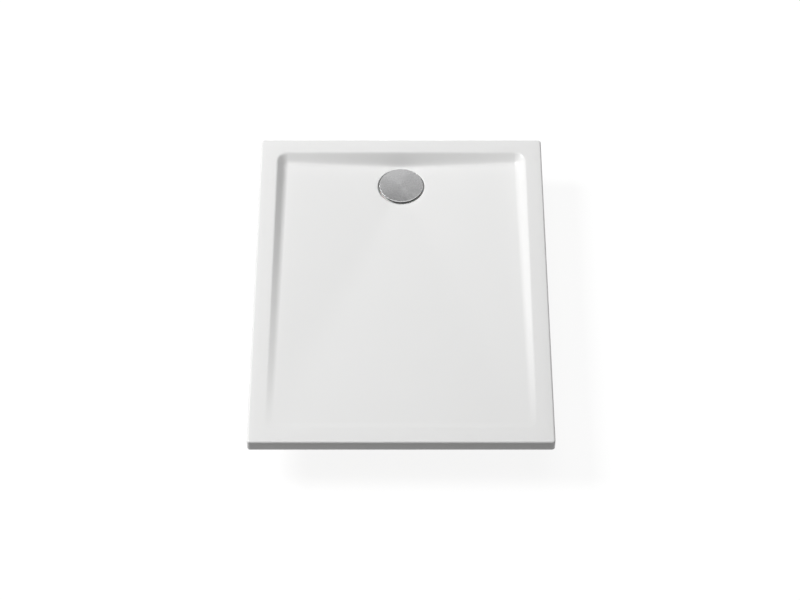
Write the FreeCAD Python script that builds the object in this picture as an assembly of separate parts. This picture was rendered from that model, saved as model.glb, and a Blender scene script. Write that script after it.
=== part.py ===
"""Low rectangular shower tray on adjustable feet, with a 90 mm trapped waste under a flat, bevelled cover.

Millimetres. +Z is up, +Y points to the wall behind the waste, and the origin is on the floor
under the middle of the tray. Depths are measured down from the top of the rim.
"""
import FreeCAD, Part

import math
import os

V = FreeCAD.Vector
UP = V(0, 0, 1)

# --- driving dimensions: the moulded tray -------------------------------------------------
tray_width = 760.0
tray_length = 1000.0
deck_height = 150.0  # top of the rim above the floor, with the feet at their longest
skirt_depth = 32.0
plan_radius = 8.0  # corner of the rim seen from above
edge_radius = 5.3  # rounding from the rim into the skirt
rim_width = 42.0
acrylic = 4.0
front_run = 24.0  # width of the basin wall at the front, from rim to floor
back_run = 34.0
wall_bend = 0.25  # share of the wall's width taken by each of its two bends
front_drop = 1.5  # basin depth along the front wall
corner_drop = 22.0  # basin depth in the two back corners
waste_drop = 36.0  # basin depth at the waste and straight behind it
waste_setback = 139.0  # waste centre to the back face

# --- driving dimensions: glass fibre and timber under the moulding --------------------------
laminate = 3.0
bond_line = 0.2
laminate_hole_radius = 72.0
rim_batten_width = 28.0
rim_batten_edge_gap = 2.0  # lower edge of the skirt to the batten
batten_width = 40.0
batten_side_inset = 90.0  # end of a cross batten to the side of the tray
batten_count = 5
batten_front_inset = 80.0  # first batten centre to the front face
batten_waste_gap = 101.0  # last batten centre to the waste centre
batten_least = 8.6  # thinnest timber under the lowest point of the floor
stub_wall_gap = 4.0
stub_waste_gap = 85.0  # inner end of a rear stub to the waste centre

# --- driving dimensions: rails and feet -----------------------------------------------------
rail_spacing = 480.0
rail_width = 40.0
rail_depth = 20.0
rail_gauge = 2.0
rail_overhang = 10.0
spindle_radius = 5.0
spindle_slot = 14.0  # square hole in the rail round each spindle
carrier_length = 36.0
carrier_pip = 6.0
nut_flats = 17.0
nut_height = 8.0
adjuster_height = 8.0
pad_size = 46.0
pad_corner_clip = 9.0
pad_base = 4.0
pad_height = 12.0
pad_neck = 28.0
pad_socket_depth = 6.0

# --- driving dimensions: the waste ------------------------------------------------------------
pocket_radius = 62.5
pocket_depth = 42.0
waste_bore = 45.0
washer_radius = 56.0
washer_thickness = 3.0
flange_radius = 57.0
flange_thickness = 2.5
neck_radius = 41.0  # threaded neck of the flange
neck_wall = 3.0
neck_length = 20.0
key_notch_width = 8.0
key_notch_depth = 3.0
clamp_ring = 4.0
bowl_wall = 3.0
bowl_depth = 75.0  # below the clamp ring
cup_lip = 2.0
cup_lip_radius = 42.0
cup_radius = 30.0
cup_wall = 2.0
cup_length = 76.0  # below the lip
cup_bar = 7.0
cup_bar_depth = 4.0
post_size = 10.0
post_rise = 5.5
cover_radius = 58.5
cover_bevel = 1.5
cover_stand = 12.0  # top of the cover above the flange
cover_skirt = 6.2
cover_gauge = 1.4
cover_leg_width = 6.0
cover_leg_depth = 8.0
cover_leg_inset = 3.0  # outer face of a leg to the edge of the flange
socket_wall = 2.0
socket_length = 6.0

# --- driving dimensions: the outlet to a 40 mm waste pipe ---------------------------------------
pipe_radius = 20.0
outlet_drop = 80.0
outlet_passage = 17.5
outlet_stop = 48.0  # shoulder that the pipe end meets, from the waste centre
outlet_reach = 74.0  # end of the threaded stub, from the waste centre
outlet_wall = 3.3
union_flats = 57.0
union_sides = 12
union_grip = 12.0  # length of stub inside the nut
union_lip = 4.0

# --- clearances -----------------------------------------------------------------------------------
thread_fit = 0.05
socket_fit = 0.15
pipe_fit = 0.25
loose_fit = 0.3

same_level = 1e-6  # two heights closer than this are one height

# --- derived places ---------------------------------------------------------------------------------
deck = deck_height
rim_x = tray_width / 2 - rim_width
rim_y = tray_length / 2 - rim_width
batten_end_x = tray_width / 2 - batten_side_inset
waste_y = tray_length / 2 - waste_setback
back_foot_y = rim_y - back_run
floor_layers = acrylic + bond_line + laminate + bond_line
rail_top = deck - waste_drop - floor_layers - batten_least
rail_foot = rail_top - rail_depth
first_batten_y = -tray_length / 2 + batten_front_inset
last_batten_y = waste_y - batten_waste_gap
batten_pitch = (last_batten_y - first_batten_y) / (batten_count - 1)
stub_y = back_foot_y - stub_wall_gap - batten_width / 2
foot_places = [
    (side * rail_spacing / 2, y)
    for y in (first_batten_y + batten_pitch / 2, (last_batten_y + stub_y) / 2)
    for side in (-1, 1)
]
pocket_floor = deck - pocket_depth
flange_top = pocket_floor + flange_thickness
clamp_top = pocket_floor - acrylic - washer_thickness
clamp_foot = clamp_top - clamp_ring
bowl_foot = clamp_foot - bowl_depth
neck_bore = neck_radius - neck_wall
bowl_bore = neck_radius + thread_fit
cup_top = flange_top + cup_lip
outlet_z = deck - outlet_drop
stub_end_y = waste_y + outlet_reach
stub_bore = pipe_radius + pipe_fit
stub_radius = stub_bore + outlet_wall


# --- basic shapes -------------------------------------------------------------------------------------
def box(x0, x1, y0, y1, z0, z1):
    return Part.makeBox(x1 - x0, y1 - y0, z1 - z0, V(x0, y0, z0))


def disc(radius, z0, z1, x=0.0, y=0.0):
    return Part.makeCylinder(radius, z1 - z0, V(x, y, z0))


def ring(outer, inner, z0, z1, x=0.0, y=0.0):
    return disc(outer, z0, z1, x, y).cut(disc(inner, z0, z1, x, y))


def turned(profile):
    """Solid turned about the vertical axis, from (radius, height) corners."""
    corners = [V(radius, 0, height) for radius, height in profile]
    face = Part.Face(Part.makePolygon(corners + corners[:1]))
    return face.revolve(V(0, 0, 0), UP, 360)


def prism(sides, flats, z0, z1, x=0.0, y=0.0):
    """Upright prism with the given size across its flats."""
    radius = flats / 2 / math.cos(math.pi / sides)
    angles = [math.pi * (2 * k + 1) / sides for k in range(sides)]
    corners = [V(x + radius * math.cos(a), y + radius * math.sin(a), z0) for a in angles]
    return Part.Face(Part.makePolygon(corners + corners[:1])).extrude(V(0, 0, z1 - z0))


def between(a, b, share):
    return a + (b - a) * share


def block(inset, z0, z1, corner):
    """Block the size of the tray less an inset, with rounded upright corners."""
    x, y = tray_width / 2 - inset, tray_length / 2 - inset
    body = box(-x, x, -y, y, z0, z1)
    if corner <= bond_line:
        return body
    upright = [e for e in body.Edges if abs(e.tangentAt(e.FirstParameter).z) > 0.5]
    return body.makeFillet(corner, upright)


# --- the basin ------------------------------------------------------------------------------------------
def wall_section(rim, foot):
    """One section of the basin wall: a bend off the rim, a slope and a bend into the floor."""

    def at(run, drop):
        return V(between(rim.x, foot.x, run), between(rim.y, foot.y, run), between(rim.z, foot.z, drop))

    def bend(*poles):
        curve = Part.BezierCurve()
        curve.setPoles(list(poles))
        return curve.toShape()

    drop = wall_bend / 2 / (1 - wall_bend)  # drop in each bend, so that it leaves along the slope
    high, low = at(wall_bend, drop), at(1 - wall_bend, 1 - drop)
    upper = bend(rim, at(wall_bend / 2, 0), high)
    lower = bend(low, at(1 - wall_bend / 2, 1), foot)
    return [upper, Part.makeLine(high, low), lower]


def wall(rims, feet):
    """Ruled faces between the wall sections at the given rim and floor points."""
    sections = [wall_section(rim, foot) for rim, foot in zip(rims, feet)]
    faces = []
    for first, second in zip(sections, sections[1:]):
        faces += [Part.makeRuledSurface(a, b) for a, b in zip(first, second)]
    return faces


def corner_wall(rim, foot, angle):
    """The wall section swept round a corner of the basin, about the floor corner."""
    return [edge.revolve(foot, UP, angle) for edge in wall_section(rim, foot)]


def rounded(foot, level, run, start, stop):
    """Arc of the rim line round a corner of the basin."""
    points = []
    for degrees in (start, (start + stop) / 2, stop):
        angle = math.radians(degrees)
        points.append(V(foot.x + run * math.cos(angle), foot.y + run * math.sin(angle), level))
    return Part.Arc(*points).toShape()


def floor_corners(drop):
    """Corners of the floor: front left, back left, behind the waste, back right, front right."""
    level = deck - drop
    front_x, front_y = rim_x - front_run, front_run - rim_y
    back_x = rim_x - back_run
    return [
        V(-front_x, front_y, level - front_drop),
        V(-back_x, back_foot_y, level - corner_drop),
        V(0, back_foot_y, level - waste_drop),
        V(back_x, back_foot_y, level - corner_drop),
        V(front_x, front_y, level - front_drop),
    ]


def basin(drop):
    """The air in the basin as a solid, lowered by drop."""
    level = deck - drop
    fl, bl, bc, br, fr = floor_corners(drop)
    low = V(0, waste_y, level - waste_drop)

    def strip(a, b, count):
        return [between(a, b, k / count) for k in range(count + 1)]

    def over(points, x=None, y=None):
        return [V(p.x if x is None else x, p.y if y is None else y, level) for p in points]

    side_strips, back_strips = 2, 1
    left, right = strip(fl, bl, side_strips), strip(fr, br, side_strips)
    back_left, back_right = strip(bl, bc, back_strips), strip(bc, br, back_strips)
    front = [fl, fr]
    left_rim, right_rim = over(left, x=-rim_x), over(right, x=rim_x)
    back_left_rim, back_right_rim = over(back_left, y=rim_y), over(back_right, y=rim_y)
    front_rim = over(front, y=-rim_y)

    faces = []
    for rims, feet in (
        (left_rim, left),
        (right_rim, right),
        (back_left_rim, back_left),
        (back_right_rim, back_right),
        (front_rim, front),
    ):
        faces += wall(rims, feet)
    faces += corner_wall(left_rim[0], fl, 90)
    faces += corner_wall(left_rim[-1], bl, -90)
    faces += corner_wall(right_rim[0], fr, -90)
    faces += corner_wall(right_rim[-1], br, 90)
    for border in (back_left, left, front, right, back_right):
        corners = [low] + border + [low]
        faces.append(Part.Face(Part.makePolygon(corners)))

    outline = [
        rounded(bl, level, back_run, 180, 90),
        rounded(br, level, back_run, 90, 0),
        rounded(fr, level, front_run, 0, -90),
        rounded(fl, level, front_run, -90, -180),
    ]
    for line in (left_rim, right_rim, back_left_rim, back_right_rim, front_rim):
        outline += [Part.makeLine(a, b) for a, b in zip(line, line[1:])]
    faces.append(Part.Face(Part.Wire(Part.__sortEdges__(outline))))

    shell = Part.makeShell(faces)
    shell.sewShape()
    solid = Part.makeSolid(shell)
    if solid.Volume < 0:
        solid.reverse()
    return solid


def air(drop):
    """Basin and waste pocket as one solid; lowered, the pocket is also wider by the drop."""
    overlap = pocket_depth - waste_drop
    top = deck - drop - waste_drop + overlap
    return basin(drop).fuse(disc(pocket_radius + drop, pocket_floor - drop, top, 0, waste_y))


def tray_shell():
    """Rim plate and skirt, carried down round the basin at the thickness of the sheet."""
    cap = block(0, deck - skirt_depth, deck, plan_radius)
    rim = [e for e in cap.Edges if all(abs(v.Z - deck) < same_level for v in e.Vertexes)]
    cap = cap.makeFillet(edge_radius, rim)
    cap = cap.cut(block(acrylic, deck - skirt_depth - acrylic, deck - acrylic, plan_radius - acrylic))
    shell = cap.fuse(air(acrylic)).cut(air(0)).removeSplitter()
    return shell.cut(disc(waste_bore, pocket_floor - 2 * acrylic, pocket_floor + acrylic, 0, waste_y))


def floor_laminate():
    """Glass fibre under the five slopes of the floor, open round the waste."""
    top = acrylic + bond_line
    depth = 2 * pocket_depth
    foot = [V(p.x, p.y, deck - depth) for p in floor_corners(0)]
    column = Part.Face(Part.makePolygon(foot + foot[:1])).extrude(V(0, 0, depth))
    layer = column.common(basin(top + laminate)).cut(basin(top))
    return layer.cut(disc(laminate_hole_radius, deck - depth, deck, 0, waste_y))


# --- timber under the moulding ------------------------------------------------------------------------
def rim_battens():
    """Four battens under the rim; the side ones stop short of the rounded corners of the skirt."""
    inset = acrylic + bond_line
    top = deck - inset
    low = deck - skirt_depth + rim_batten_edge_gap
    x1, y1 = tray_width / 2 - inset, tray_length / 2 - inset
    x0, y0 = x1 - rim_batten_width, y1 - rim_batten_width
    side_end = tray_length / 2 - plan_radius - bond_line
    front_end = x0 - loose_fit
    return {
        "rim_batten_left": box(-x1, -x0, -side_end, side_end, low, top),
        "rim_batten_right": box(x0, x1, -side_end, side_end, low, top),
        "rim_batten_front": box(-front_end, front_end, -y1, -y0, low, top),
        "rim_batten_back": box(-front_end, front_end, y0, y1, low, top),
    }


def cross_battens():
    """Battens across the tray, and a stub each side of the waste, cut to the slopes of the floor."""
    clear = basin(floor_layers)
    half, end = batten_width / 2, batten_end_x
    spans = {}
    for k in range(batten_count):
        spans[f"cross_batten_{k + 1}"] = (-end, end, first_batten_y + k * batten_pitch)
    spans["rear_stub_left"] = (-end, -stub_waste_gap, stub_y)
    spans["rear_stub_right"] = (stub_waste_gap, end, stub_y)
    parts = {}
    for name, (x0, x1, y) in spans.items():
        parts[name] = box(x0, x1, y - half, y + half, rail_top, deck - floor_layers).cut(clear)
    return parts


# --- rails and feet --------------------------------------------------------------------------------------
def rail(side):
    """Channel open downwards, with square holes for the spindles and for the carrier pips."""
    x = side * rail_spacing / 2
    y0, y1 = first_batten_y - batten_width / 2, stub_y + batten_width / 2 + rail_overhang
    half, inner, hole = rail_width / 2, rail_width / 2 - rail_gauge, spindle_slot / 2
    body = box(x - half, x + half, y0, y1, rail_foot, rail_top)
    body = body.cut(box(x - inner, x + inner, y0, y1, rail_foot, rail_top - rail_gauge))
    for foot_x, y in foot_places:
        if foot_x * side > 0:
            body = body.cut(box(x - hole, x + hole, y - hole, y + hole, rail_foot, rail_top))
            body = body.cut(pips(x, y, rail_width, carrier_pip + 2 * loose_fit))
    return body


def pips(x, y, width, size):
    """Bar across the rail: its ends are the pips of a carrier or the holes that take them."""
    z = (rail_foot + rail_top - rail_gauge) / 2
    return box(x - width / 2, x + width / 2, y - size / 2, y + size / 2, z - size / 2, z + size / 2)


def foot_carriers():
    """Nylon blocks that snap into the rails and are threaded for the spindles."""
    half = rail_width / 2 - rail_gauge - loose_fit
    end = carrier_length / 2
    blocks = []
    for x, y in foot_places:
        carrier = box(x - half, x + half, y - end, y + end, rail_foot, rail_top - rail_gauge)
        carrier = carrier.fuse(pips(x, y, rail_width, carrier_pip))
        blocks.append(carrier.cut(disc(spindle_radius + thread_fit, rail_foot, rail_top, x, y)))
    return Part.makeCompound(blocks)


def lock_nuts():
    nuts = []
    for x, y in foot_places:
        nut = prism(6, nut_flats, rail_foot - nut_height, rail_foot, x, y)
        nuts.append(nut.cut(disc(spindle_radius + thread_fit, rail_foot - nut_height, rail_foot, x, y)))
    return Part.makeCompound(nuts)


def foot_spindle(x, y):
    """Threaded spindle; the hexagon at its foot turns in the socket of the pad."""
    seat = pad_height - pad_socket_depth
    grip_top = pad_height + adjuster_height
    hexagon = prism(6, nut_flats, seat, grip_top, x, y)
    return hexagon.fuse(disc(spindle_radius, grip_top, rail_top, x, y)).removeSplitter()


def foot_pad(x, y):
    """Square pad with clipped corners, rising to a neck with the socket for the spindle."""
    half, neck = pad_size / 2, pad_neck / 2
    rise = pad_height - pad_base
    plate = box(-half, half, -half, half, 0, pad_base)
    taper = Part.makeWedge(-half, 0, -half, -neck, -neck, half, rise, half, neck, neck)
    taper.rotate(V(0, 0, 0), V(1, 0, 0), 90)
    taper.translate(V(0, 0, pad_base))
    clip = prism(4, math.sqrt(2) * (pad_size - pad_corner_clip), 0, pad_height)
    clip.rotate(V(0, 0, 0), UP, 45)
    body = plate.fuse(taper).common(clip)
    socket = 2 * (nut_flats / math.sqrt(3) + loose_fit)
    body = body.cut(prism(8, socket, pad_height - pad_socket_depth, pad_height))
    body.translate(V(x, y, 0))
    return body.removeSplitter()


# --- the waste ------------------------------------------------------------------------------------------------
def tray_washer():
    """Rubber washer squeezed between the tray and the clamp ring of the trap."""
    return ring(washer_radius, waste_bore + loose_fit, clamp_top, pocket_floor - acrylic, 0, waste_y)


def waste_flange():
    """Flange with a threaded neck; the notches at its bore take the key that tightens it."""
    body = disc(flange_radius, pocket_floor, flange_top)
    body = body.fuse(disc(neck_radius, pocket_floor - neck_length, pocket_floor))
    body = body.cut(disc(neck_bore, pocket_floor - neck_length, flange_top))
    reach, half = neck_bore + key_notch_depth, key_notch_width / 2
    for k in range(2):
        bar = box(-reach, reach, -half, half, pocket_floor, flange_top)
        bar.rotate(V(0, 0, 0), UP, 45 + 90 * k)
        body = body.cut(bar)
    body.translate(V(0, waste_y, 0))
    return body


def across(radius, y0, y1):
    """Cylinder along the outlet axis."""
    return Part.makeCylinder(radius, y1 - y0, V(0, y0, outlet_z), V(0, 1, 0))


def trap_body():
    """Clamp ring above a round bowl, threaded inside for the flange and outside for the pipe nut."""
    body = disc(bowl_bore + bowl_wall, bowl_foot, clamp_foot, 0, waste_y)
    body = body.fuse(disc(washer_radius, clamp_foot, clamp_top, 0, waste_y))
    body = body.fuse(across(stub_radius, waste_y, stub_end_y))
    body = body.cut(disc(bowl_bore, bowl_foot + bowl_wall, clamp_top, 0, waste_y))
    body = body.cut(across(stub_bore, waste_y + outlet_stop, stub_end_y))
    return body.cut(across(outlet_passage, waste_y, waste_y + outlet_stop))


def dip_cup():
    """Tube that dips into the water seal, hung by its lip, with a cross grid and a square post."""
    body = disc(cup_radius, flange_top - cup_length, flange_top)
    body = body.fuse(disc(cup_lip_radius, flange_top, cup_top))
    body = body.cut(disc(cup_radius - cup_wall, flange_top - cup_length, cup_top))
    arm, half, post = cup_radius - cup_wall / 2, cup_bar / 2, post_size / 2
    low = cup_top - cup_bar_depth
    body = body.fuse(box(-arm, arm, -half, half, low, cup_top))
    body = body.fuse(box(-half, half, -arm, arm, low, cup_top))
    body = body.fuse(box(-post, post, -post, post, low, cup_top + post_rise))
    body.translate(V(0, waste_y, 0))
    return body.removeSplitter()


def waste_cover():
    """Flat cover with a bevelled, turned-down edge, four legs and a socket for the post."""
    top = flange_top + cover_stand
    under = top - cover_gauge
    inner = cover_radius - cover_gauge
    body = turned(
        [
            (0, top),
            (cover_radius - cover_bevel, top),
            (cover_radius, top - cover_bevel),
            (cover_radius, top - cover_skirt),
            (inner, top - cover_skirt),
            (inner, under - cover_bevel),
            (inner - cover_bevel, under),
            (0, under),
        ]
    )
    half, outer = cover_leg_width / 2, flange_radius - cover_leg_inset
    for k in range(4):
        leg = box(outer - cover_leg_depth, outer, -half, half, flange_top, under)
        leg.rotate(V(0, 0, 0), UP, 90 * k)
        body = body.fuse(leg)
    bore = post_size / 2 + socket_fit
    wall = bore + socket_wall
    socket = box(-wall, wall, -wall, wall, under - socket_length, under)
    socket = socket.cut(box(-bore, bore, -bore, bore, under - socket_length, under))
    body = body.fuse(socket)
    body.translate(V(0, waste_y, 0))
    return body.removeSplitter()


def outlet_nut():
    """Union nut with flats all round, whose lip squeezes the pipe joint."""
    y0 = stub_end_y - union_grip
    y1 = stub_end_y + pipe_fit
    nut = prism(union_sides, union_flats, 0, y1 + union_lip - y0)
    nut.rotate(V(0, 0, 0), V(1, 0, 0), -90)
    nut.translate(V(0, y0, outlet_z))
    nut = nut.cut(across(stub_radius + thread_fit, y0, y1))
    return nut.cut(across(stub_bore, y1, y1 + union_lip))


def save(name, shape):
    shape.exportStep(os.path.join("parts", name + ".step"))


def main():
    os.makedirs("parts", exist_ok=True)
    save("tray_shell", tray_shell())
    save("floor_laminate", floor_laminate())
    for name, shape in {**rim_battens(), **cross_battens()}.items():
        save(name, shape)
    save("rail_left", rail(-1))
    save("rail_right", rail(1))
    save("foot_carriers", foot_carriers())
    save("lock_nuts", lock_nuts())
    for k, (x, y) in enumerate(foot_places, start=1):
        save(f"foot_spindle_{k}", foot_spindle(x, y))
        save(f"foot_pad_{k}", foot_pad(x, y))
    save("tray_washer", tray_washer())
    save("waste_flange", waste_flange())
    save("trap_body", trap_body())
    save("dip_cup", dip_cup())
    save("waste_cover", waste_cover())
    save("outlet_nut", outlet_nut())


main()
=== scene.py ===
"""Looks of a low rectangular shower tray on adjustable feet.

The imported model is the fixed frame. Every piece made here is in metres and sits where the frame
puts it. Finishes come first, then the mesh makers, then a class for each sub-assembly: the moulding
and its glass fibre, the timber, the rails and feet, and the waste. The studio comes last.
"""

import logging
import math
from dataclasses import dataclass
from enum import Enum
from typing import Callable, Iterable, Sequence, Union

import bmesh
import bpy
import numpy as np
from bpy.types import ID, Material, Mesh, Node, NodeSocket, NodeTree, Object
from mathutils import Euler, Matrix, Vector


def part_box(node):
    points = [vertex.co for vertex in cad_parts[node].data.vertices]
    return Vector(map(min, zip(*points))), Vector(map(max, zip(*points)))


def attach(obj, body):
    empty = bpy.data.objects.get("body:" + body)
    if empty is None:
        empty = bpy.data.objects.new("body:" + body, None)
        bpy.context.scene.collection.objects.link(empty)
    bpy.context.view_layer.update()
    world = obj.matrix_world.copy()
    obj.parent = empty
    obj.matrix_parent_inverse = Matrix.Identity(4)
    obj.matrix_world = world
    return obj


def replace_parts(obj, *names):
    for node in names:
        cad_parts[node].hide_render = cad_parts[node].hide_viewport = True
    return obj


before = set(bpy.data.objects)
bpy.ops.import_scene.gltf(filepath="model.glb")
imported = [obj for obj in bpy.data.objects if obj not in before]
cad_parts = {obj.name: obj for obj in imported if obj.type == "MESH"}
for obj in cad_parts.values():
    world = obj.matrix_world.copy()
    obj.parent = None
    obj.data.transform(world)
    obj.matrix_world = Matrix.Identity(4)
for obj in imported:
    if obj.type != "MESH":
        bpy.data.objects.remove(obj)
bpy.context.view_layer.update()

LOG = logging.getLogger("shower_tray")
PHOTO_WIDTH = 800.0
SENSOR_WIDTH = 36.0
MERGE = 1e-6
SNAP = 2e-5
FLAT_ANGLE = math.radians(0.6)
SHARP_ANGLE = math.radians(32)
MIDDLE = (0.3, 0.7)  # most values of a noise lie between these
WAVE_PERIOD = 0.314  # length at which a wave texture of scale 1 repeats
TINY = 1e-9

Number = Union[float, Sequence[float], Node, NodeSocket]
Outline = np.ndarray


class Axis(Enum):
    """Direction of a grain, or of the axis of a circle."""

    X = 0
    Y = 1
    Z = 2


# --- node trees ---------------------------------------------------------------------------------
class Graph:
    """A node tree under construction. A node that is fed to a socket gives its first output."""

    def __init__(self, tree: NodeTree) -> None:
        """Start on an emptied tree."""
        tree.nodes.clear()
        self.tree = tree

    def feed(self, socket: NodeSocket, value: Number) -> None:
        """Join a socket to another one, or set its value.

        Args:
            socket: The socket that is fed.
            value: A node, a socket or a plain value.
        """
        if isinstance(value, Node):
            value = value.outputs[0]
        if isinstance(value, NodeSocket):
            self.tree.links.new(value, socket)
        else:
            socket.default_value = value

    def add(self, kind: str, *values: Number, traits: dict = None, **inputs: Number) -> Node:
        """Add a node.

        Args:
            kind: Type name of the node.
            *values: Values or sockets of its inputs, by place.
            traits: Its properties, which are set first.
            **inputs: Values or sockets of its inputs, by name with underscores for spaces.

        Returns:
            The new node.
        """
        node = self.tree.nodes.new(kind)
        for trait, choice in (traits or {}).items():
            setattr(node, trait, choice)
        for socket, value in zip(node.inputs, values):
            self.feed(socket, value)
        for label, value in inputs.items():
            self.feed(node.inputs[label.replace("_", " ")], value)
        return node

    def math(self, operation: str, *values: Number) -> Node:
        """Add a math node on the given numbers or sockets."""
        return self.add("ShaderNodeMath", *values, traits={"operation": operation})


class Sheet(Graph):
    """A material under construction: a Principled shader and the nodes that feed it."""

    def __init__(self, name: str) -> None:
        """Start a material with its shader joined to its output.

        Args:
            name: Name of the material.
        """
        self.material = bpy.data.materials.new(name)
        self.material.use_nodes = True
        super().__init__(self.material.node_tree)
        self.shader = self.add("ShaderNodeBsdfPrincipled")
        self.output = self.add("ShaderNodeOutputMaterial", Surface=self.shader)
        self.place = self.add("ShaderNodeTexCoord").outputs["Object"]

    def drive(self, **values: Number) -> None:
        """Set or join inputs of the shader.

        Args:
            **values: Values or sockets, by name with underscores for spaces.
        """
        for label, value in values.items():
            self.feed(self.shader.inputs[label.replace("_", " ")], value)

    def moved(
        self, scale: tuple = (1, 1, 1), turn: tuple = (0, 0, 0), centre: tuple = (0, 0, 0)
    ) -> Node:
        """Object coordinates turned about a centre and then stretched.

        Args:
            scale: Stretch along each axis.
            turn: Turn about each axis, in radians.
            centre: Point that the pattern turns about.

        Returns:
            The node with the new coordinates.
        """
        about = Euler(turn)
        shift = -(about.to_matrix() @ Vector(centre))
        turned_by = self.add("ShaderNodeMapping", Vector=self.place, Rotation=about, Location=shift)
        return self.add("ShaderNodeMapping", Vector=turned_by, Scale=scale)

    def noise(
        self, scale: float, detail: float = 3.0, vector: Number = None, rough: float = 0.5
    ) -> Node:
        """Add a noise texture.

        Args:
            scale: Lumps per metre.
            detail: Octaves.
            vector: Coordinates, which are the object's own if left out.
            rough: Share of the finer octaves.

        Returns:
            The node, whose first output is the value.
        """
        vector = self.place if vector is None else vector
        sizes = {"Scale": scale, "Detail": detail, "Roughness": rough}
        return self.add("ShaderNodeTexNoise", Vector=vector, **sizes)

    def spread(
        self, value: Number, low: float, high: float, start: float = 0.0, stop: float = 1.0
    ) -> Node:
        """Carry a value from start..stop to low..high, and hold it there.

        Args:
            value: The value.
            low: Result at start.
            high: Result at stop.
            start: Value that gives low.
            stop: Value that gives high.

        Returns:
            The node with the result.
        """
        limits = {"From_Min": start, "From_Max": stop, "To_Min": low, "To_Max": high}
        return self.add("ShaderNodeMapRange", Value=value, **limits)

    def blend(self, share: Number, first: Sequence[float], second: Sequence[float]) -> NodeSocket:
        """Colour between two colours.

        Args:
            share: Share of the second, from 0 to 1.
            first: The first colour.
            second: The second colour.

        Returns:
            The socket with the colour.
        """
        node = self.add("ShaderNodeMix", share, traits={"data_type": "RGBA"})
        node.inputs[6].default_value = (*first, 1)
        node.inputs[7].default_value = (*second, 1)
        return node.outputs[2]

    def bump(self, height: Number, depth: float, strength: float = 1.0) -> None:
        """Raise the surface, on top of any bump already there.

        Args:
            height: Height from 0 to 1.
            depth: Height in metres of a value of 1.
            strength: Share of the effect.
        """
        node = self.add("ShaderNodeBump", Height=height, Distance=depth, Strength=strength)
        normal = self.shader.inputs["Normal"]
        if normal.links:
            self.feed(node.inputs["Normal"], normal.links[0].from_socket)
        self.feed(normal, node)


# --- finishes -----------------------------------------------------------------------------------
@dataclass(frozen=True)
class Finish:
    """A finish with a name. Each kind of finish paints its own shader."""

    name: str

    def build(self) -> Material:
        """Make the material.

        Returns:
            The material.
        """
        sheet = Sheet(self.name)
        self.paint(sheet)
        return sheet.material

    def paint(self, sheet: Sheet) -> None:
        """Drive the shader of a sheet."""
        raise NotImplementedError


@dataclass(frozen=True)
class MouldedPlastic(Finish):
    """Moulded plastic or rubber: a little flow shading, patches of sheen and a grain.

    Clouds and patches are (lumps per metre, octaves, low, high) of a noise; each part of the relief
    is (lumps per metre, octaves, metres, strength).
    """

    tint: tuple
    gloss: tuple
    bloom: float = 0.06
    veil: float = 0.15
    shine: float = 0.45
    glow: float = 0.0
    glow_depth: float = 0.002
    clouds: tuple = (38.0, 3.0, 0.35, 0.75)
    patches: tuple = (120.0, 3.0, *MIDDLE)
    relief: tuple = ((1400.0, 2.0, 0.00003, 0.6),)

    def paint(self, sheet: Sheet) -> None:
        """Paler clouds and patches of sheen over the relief.

        Args:
            sheet: The material under construction.
        """
        pale = [min(1.0, c + self.bloom * (self.veil + c)) for c in self.tint]
        cloud = sheet.spread(sheet.noise(*self.clouds[:2]), 0.0, 1.0, *self.clouds[2:])
        patch = sheet.spread(sheet.noise(*self.patches[:2]), *self.gloss, *self.patches[2:])
        colour = sheet.blend(cloud, self.tint, pale)
        sheet.drive(Specular_IOR_Level=self.shine, Base_Color=colour, Roughness=patch)
        sheet.drive(Subsurface_Weight=self.glow, Subsurface_Scale=self.glow_depth)
        for scale, octaves, depth, strength in self.relief:
            sheet.bump(sheet.noise(scale, octaves), depth, strength)


@dataclass(frozen=True)
class GlossAcrylic(MouldedPlastic):
    """Thermoformed white acrylic sheet, polished, with the faint waves that forming leaves."""

    tint: tuple = (0.865, 0.865, 0.86)
    gloss: tuple = (0.16, 0.24)
    bloom: float = 0.012
    veil: float = 0.0
    shine: float = 0.42
    clouds: tuple = (7.0, 2.0, 0.0, 1.0)
    patches: tuple = (45.0, 4.0, *MIDDLE)
    relief: tuple = ((14.0, 1.0, 0.00022, 0.5), (900.0, 2.0, 0.000004, 0.4))


@dataclass(frozen=True)
class Silicone(MouldedPlastic):
    """Translucent white sealant, tooled with a wet finger."""

    tint: tuple = (0.80, 0.80, 0.78)
    gloss: tuple = (0.25, 0.4)
    bloom: float = 0.05
    veil: float = 0.0
    shine: float = 0.5
    glow: float = 0.2
    clouds: tuple = (160.0, 2.0, 0.0, 1.0)
    patches: tuple = (160.0, 2.0, 0.0, 1.0)
    relief: tuple = ((160.0, 2.0, 0.0002, 0.5),)


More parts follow.
